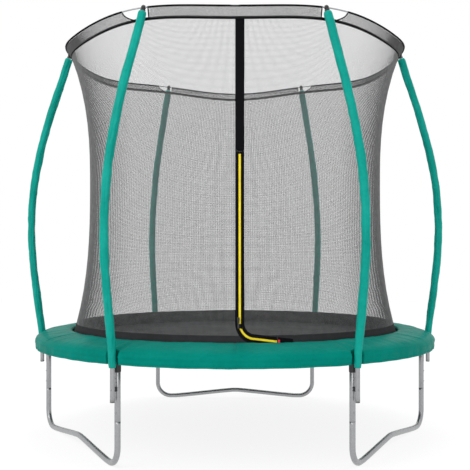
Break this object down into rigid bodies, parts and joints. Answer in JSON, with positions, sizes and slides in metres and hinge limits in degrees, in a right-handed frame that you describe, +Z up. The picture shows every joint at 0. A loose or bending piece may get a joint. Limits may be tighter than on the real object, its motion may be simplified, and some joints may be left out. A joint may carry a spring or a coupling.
{
  "type": "backyard trampoline",
  "caption": "Round backyard trampoline with sprung mat, padded rim, leg frame, bowed padded poles and a waisted safety net with a zipped door.",
  "frame": {"origin": "on the ground, under the centre of the round frame", "axes": "+X to the right of a person facing the entrance, +Y away from them, +Z up; the entrance faces -Y"},
  "size_m": [2.6696, 2.504, 2.4107],
  "materials": {
    "galvanised_steel": "galvanised, satin",
    "spring_steel": "zinc plated",
    "black_plastic": "moulded, matt",
    "red_plastic": "moulded, satin",
    "ring_rod": "glass fibre rod, satin",
    "pad_vinyl": "coated fabric, satin",
    "sleeve_vinyl": "coated fabric, satin",
    "mat_weave": "woven, matt",
    "net_mesh": "open knitted mesh",
    "zip_tape": "woven webbing"
  },
  "bodies": {
    "frame": {"frame_rail_front_right": "galvanised_steel", "leg_upright_front_right": "galvanised_steel", "leg_collar_front_right": "black_plastic", "net_pole_front_right": "galvanised_steel", "pole_spacer_front_right": "black_plastic", "pole_sleeve_front_right": "sleeve_vinyl", "pole_cap_front_right": "black_plastic", "frame_rail_right": "galvanised_steel", "leg_upright_right": "galvanised_steel", "leg_collar_right": "black_plastic", "net_pole_right": "galvanised_steel", "pole_spacer_right": "black_plastic", "pole_sleeve_right": "sleeve_vinyl", "pole_cap_right": "black_plastic", "frame_rail_rear_right": "galvanised_steel", "leg_upright_rear_right": "galvanised_steel", "leg_collar_rear_right": "black_plastic", "net_pole_rear_right": "galvanised_steel", "pole_spacer_rear_right": "black_plastic", "pole_sleeve_rear_right": "sleeve_vinyl", "pole_cap_rear_right": "black_plastic", "frame_rail_rear_left": "galvanised_steel", "leg_upright_rear_left": "galvanised_steel", "leg_collar_rear_left": "black_plastic", "net_pole_rear_left": "galvanised_steel", "pole_spacer_rear_left": "black_plastic", "pole_sleeve_rear_left": "sleeve_vinyl", "pole_cap_rear_left": "black_plastic", "frame_rail_left": "galvanised_steel", "leg_upright_left": "galvanised_steel", "leg_collar_left": "black_plastic", "net_pole_left": "galvanised_steel", "pole_spacer_left": "black_plastic", "pole_sleeve_left": "sleeve_vinyl", "pole_cap_left": "black_plastic", "frame_rail_front_left": "galvanised_steel", "leg_upright_front_left": "galvanised_steel", "leg_collar_front_left": "black_plastic", "net_pole_front_left": "galvanised_steel", "pole_spacer_front_left": "black_plastic", "pole_sleeve_front_left": "sleeve_vinyl", "pole_cap_front_left": "black_plastic", "leg_base_left": "galvanised_steel", "leg_base_right": "galvanised_steel", "leg_base_rear": "galvanised_steel", "top_ring": "ring_rod", "spring_set": "spring_steel", "safety_pad": "pad_vinyl", "net_body": "net_mesh", "zip_tape_fixed": "zip_tape", "zip_end_stop": "red_plastic"},
    "mat": {"mat": "mat_weave"},
    "door": {"net_door": "net_mesh", "zip_tape_door": "zip_tape"},
    "zip_slider_body": {"zip_slider": "black_plastic"},
    "zip_pull_body": {"zip_pull": "black_plastic"}
  },
  "joints": [
    {"name": "mat_bounce", "type": "slide", "parent": "frame", "child": "mat", "axis": [0, 0, 1], "range_m": [-0.25, 0], "stiffness_N_per_m": 4000, "springref_m": 0.012, "deforming": ["spring_set"]},
    {"name": "door_fold", "type": "hinge", "parent": "frame", "child": "door", "pos_m": [0.0316, -0.9262, 1.65], "axis": [-0.1824, 0.0683, 0.9808], "range_deg": [0, 75]},
    {"name": "zip_slide", "type": "slide", "parent": "frame", "child": "zip_slider_body", "axis": [0, 0.0711, 0.9975], "range_m": [0, 0.92]},
    {"name": "zip_pull_swing", "type": "hinge", "parent": "zip_slider_body", "child": "zip_pull_body", "pos_m": [0.0174, -1.00144, 0.762], "axis": [-1, 0, 0], "range_deg": [0, 150]}
  ]
}
